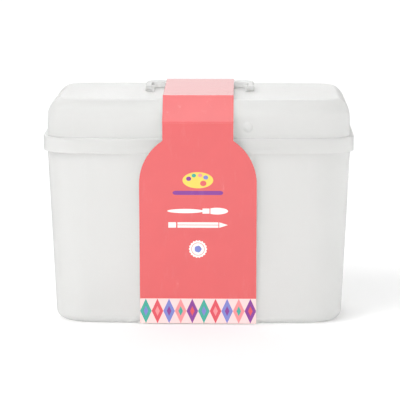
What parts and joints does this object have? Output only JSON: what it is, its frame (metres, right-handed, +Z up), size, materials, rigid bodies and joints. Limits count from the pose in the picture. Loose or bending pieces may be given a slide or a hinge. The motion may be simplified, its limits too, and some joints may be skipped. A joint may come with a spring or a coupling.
{
  "type": "art supply storage box",
  "caption": "Tapered frosted plastic art supply box with a hinged lid, folding carry handle, front latch and a printed card band.",
  "frame": {"origin": "middle of the tub's flat bottom face, which the box stands on", "axes": "+X along the width to the right as seen from the front, +Y towards the hinge at the back, +Z up"},
  "size_m": [0.328, 0.2088, 0.2473],
  "materials": {
    "frosted_plastic": "frosted, slightly translucent moulded polypropylene",
    "pin_plastic": "smooth moulded plastic",
    "pin_steel": "plain drawn wire",
    "coated_card": "coated printed card"
  },
  "bodies": {
    "base": {"base_tub": "frosted_plastic", "hinge_pin_left": "pin_steel", "hinge_pin_right": "pin_steel"},
    "lid": {"lid_shell": "frosted_plastic", "handle_pin_left": "pin_plastic", "handle_pin_right": "pin_plastic", "latch_pin_left": "pin_plastic", "latch_pin_right": "pin_plastic", "label_slope_panel": "coated_card"},
    "handle": {"carry_handle": "frosted_plastic"},
    "latch": {"front_latch": "frosted_plastic", "label_front_panel": "coated_card"},
    "card_tongue": {"label_top_panel": "coated_card"}
  },
  "joints": [
    {"name": "lid_hinge", "type": "hinge", "parent": "base", "child": "lid", "pos_m": [0, 0.1007, 0.1795], "axis": [-1, 0, 0], "range_deg": [0, 105]},
    {"name": "latch_swing", "type": "hinge", "parent": "lid", "child": "latch", "pos_m": [0, -0.0985, 0.2133], "axis": [-1, 0, 0], "range_deg": [0, 80]},
    {"name": "handle_fold", "type": "hinge", "parent": "lid", "child": "handle", "pos_m": [0, -0.006, 0.24275], "axis": [1, 0, 0], "range_deg": [0, 90]},
    {"name": "card_crease", "type": "hinge", "parent": "lid", "child": "card_tongue", "pos_m": [0, -0.0786, 0.2432], "axis": [1, 0, 0], "range_deg": [0, 38]}
  ],
  "couplings": [
    {"joint": "card_crease", "follows": "handle_fold", "ratio": 0.42}
  ]
}
